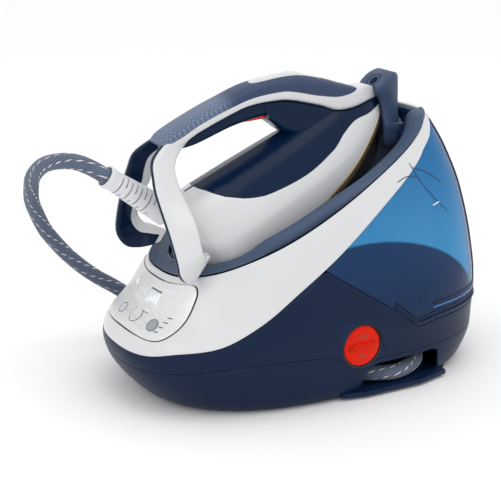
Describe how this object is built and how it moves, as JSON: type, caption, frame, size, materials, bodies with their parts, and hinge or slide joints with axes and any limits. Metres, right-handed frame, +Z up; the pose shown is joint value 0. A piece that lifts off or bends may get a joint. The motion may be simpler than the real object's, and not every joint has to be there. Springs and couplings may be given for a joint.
{
  "type": "steam generator iron",
  "caption": "Steam generator iron: a water tank base with boiler, control panel, latch and descaling collector, with the iron docked on top and a woven steam hose.",
  "frame": {"origin": "centre of the base's plan, on the table", "axes": "+Z up; the control panel faces -Y and the tank is at +Y; +X is the side with the descaling cap"},
  "size_m": [0.4476, 0.4985, 0.3408],
  "materials": {
    "white_shell": "gloss",
    "navy_shell": "gloss",
    "slate_plastic": "fine texture",
    "black_plastic": "matte",
    "silver_panel": "brushed metallic film",
    "chrome_trim": "polished",
    "steel": "satin",
    "chamber_metal": "cast",
    "sole_metal": "bronze coloured, polished",
    "cap_orange": "satin",
    "trigger_red": "satin",
    "tank_blue": "translucent",
    "valve_brass": "satin",
    "board_green": "matte",
    "woven_sleeve": "woven with pale flecks",
    "rubber": "matte"
  },
  "bodies": {
    "base": {"bottom_tray": "navy_shell", "rubber_foot_1": "rubber", "rubber_foot_2": "rubber", "rubber_foot_3": "rubber", "rubber_foot_4": "rubber", "tray_screw_1": "steel", "tray_screw_2": "steel", "tray_screw_3": "steel", "tray_screw_4": "steel", "channel_cover": "black_plastic", "hose_gland": "black_plastic", "lower_body": "navy_shell", "mains_gland": "black_plastic", "upper_cover": "white_shell", "control_panel": "silver_panel", "display_window": "silver_panel", "control_board": "board_green", "iron_rest": "slate_plastic", "rest_apron": "slate_plastic", "rest_pad_left": "black_plastic", "rest_pad_right": "black_plastic", "heel_pad": "black_plastic", "latch_pin": "steel", "boiler_hood": "navy_shell", "tank_deck": "black_plastic", "boiler": "steel", "boiler_cradle": "black_plastic", "heater_plate": "steel", "thermostat": "black_plastic", "steam_valve": "valve_brass", "water_pump": "black_plastic", "steam_pipe": "steel", "water_pipe": "white_shell", "collector_housing": "black_plastic", "steam_hose": "woven_sleeve"},
    "iron": {"soleplate": "sole_metal", "steam_chamber": "chamber_metal", "skirt": "white_shell", "body_shell": "navy_shell", "trigger_pin": "steel", "handle_frame": "white_shell", "leg_strip_left": "navy_shell", "leg_strip_right": "navy_shell", "grip": "slate_plastic", "chrome_bezel": "chrome_trim", "hose_boot": "white_shell"},
    "trigger": {"steam_trigger": "trigger_red"},
    "boost": {"boost_button": "silver_panel"},
    "latch": {"latch_lever": "slate_plastic"},
    "tank": {"water_tank": "tank_blue", "tank_handle": "navy_shell", "tank_valve": "white_shell"},
    "filler_lid": {"tank_lid": "navy_shell"},
    "collector": {"collector_rod": "steel"},
    "collector_cap": {"calc_cap": "cap_orange", "cap_seal": "rubber"},
    "power": {"power_button": "silver_panel"},
    "steam_level": {"steam_level_button": "silver_panel"},
    "eco": {"eco_button": "silver_panel"}
  },
  "joints": [
    {"name": "iron_lift", "type": "slide", "parent": "base", "child": "iron", "axis": [0, -0.8, 0.6], "range_m": [0, 0.15], "deforming": ["steam_hose"]},
    {"name": "trigger_squeeze", "type": "hinge", "parent": "iron", "child": "trigger", "pos_m": [0, -0.0347, 0.2995], "axis": [-1, 0, 0], "range_deg": [0, 5], "stiffness_Nm_per_rad": 0.8, "springref_deg": -2.86},
    {"name": "boost_press", "type": "slide", "parent": "iron", "child": "boost", "axis": [0, -0.0557, -0.9984], "range_m": [0, 0.0025], "stiffness_N_per_m": 800, "springref_m": -0.001},
    {"name": "latch_pivot", "type": "hinge", "parent": "base", "child": "latch", "pos_m": [0, 0.137, 0.262], "axis": [-1, 0, 0], "range_deg": [0, 20]},
    {"name": "tank_slide", "type": "slide", "parent": "base", "child": "tank", "axis": [0, 0.9806, 0.1961], "range_m": [0, 0.15]},
    {"name": "lid_pull", "type": "slide", "parent": "tank", "child": "filler_lid", "axis": [0, 0.8776, 0.4794], "range_m": [0, 0.022]},
    {"name": "collector_pull", "type": "slide", "parent": "base", "child": "collector", "axis": [1, 0, 0], "range_m": [0, 0.09]},
    {"name": "cap_turn", "type": "hinge", "parent": "collector", "child": "collector_cap", "pos_m": [0.13, 0.013, 0.063], "axis": [1, 0, 0], "range_deg": [0, 90]},
    {"name": "power_press", "type": "slide", "parent": "base", "child": "power", "axis": [0, 0.7201, -0.6939], "range_m": [0, 0.0008], "stiffness_N_per_m": 1200, "springref_m": -0.0005},
    {"name": "steam_level_press", "type": "slide", "parent": "base", "child": "steam_level", "axis": [0, 0.7201, -0.6939], "range_m": [0, 0.001], "stiffness_N_per_m": 1200, "springref_m": -0.0005},
    {"name": "eco_press", "type": "slide", "parent": "base", "child": "eco", "axis": [0, 0.7201, -0.6939], "range_m": [0, 0.0008], "stiffness_N_per_m": 1200, "springref_m": -0.0005}
  ]
}
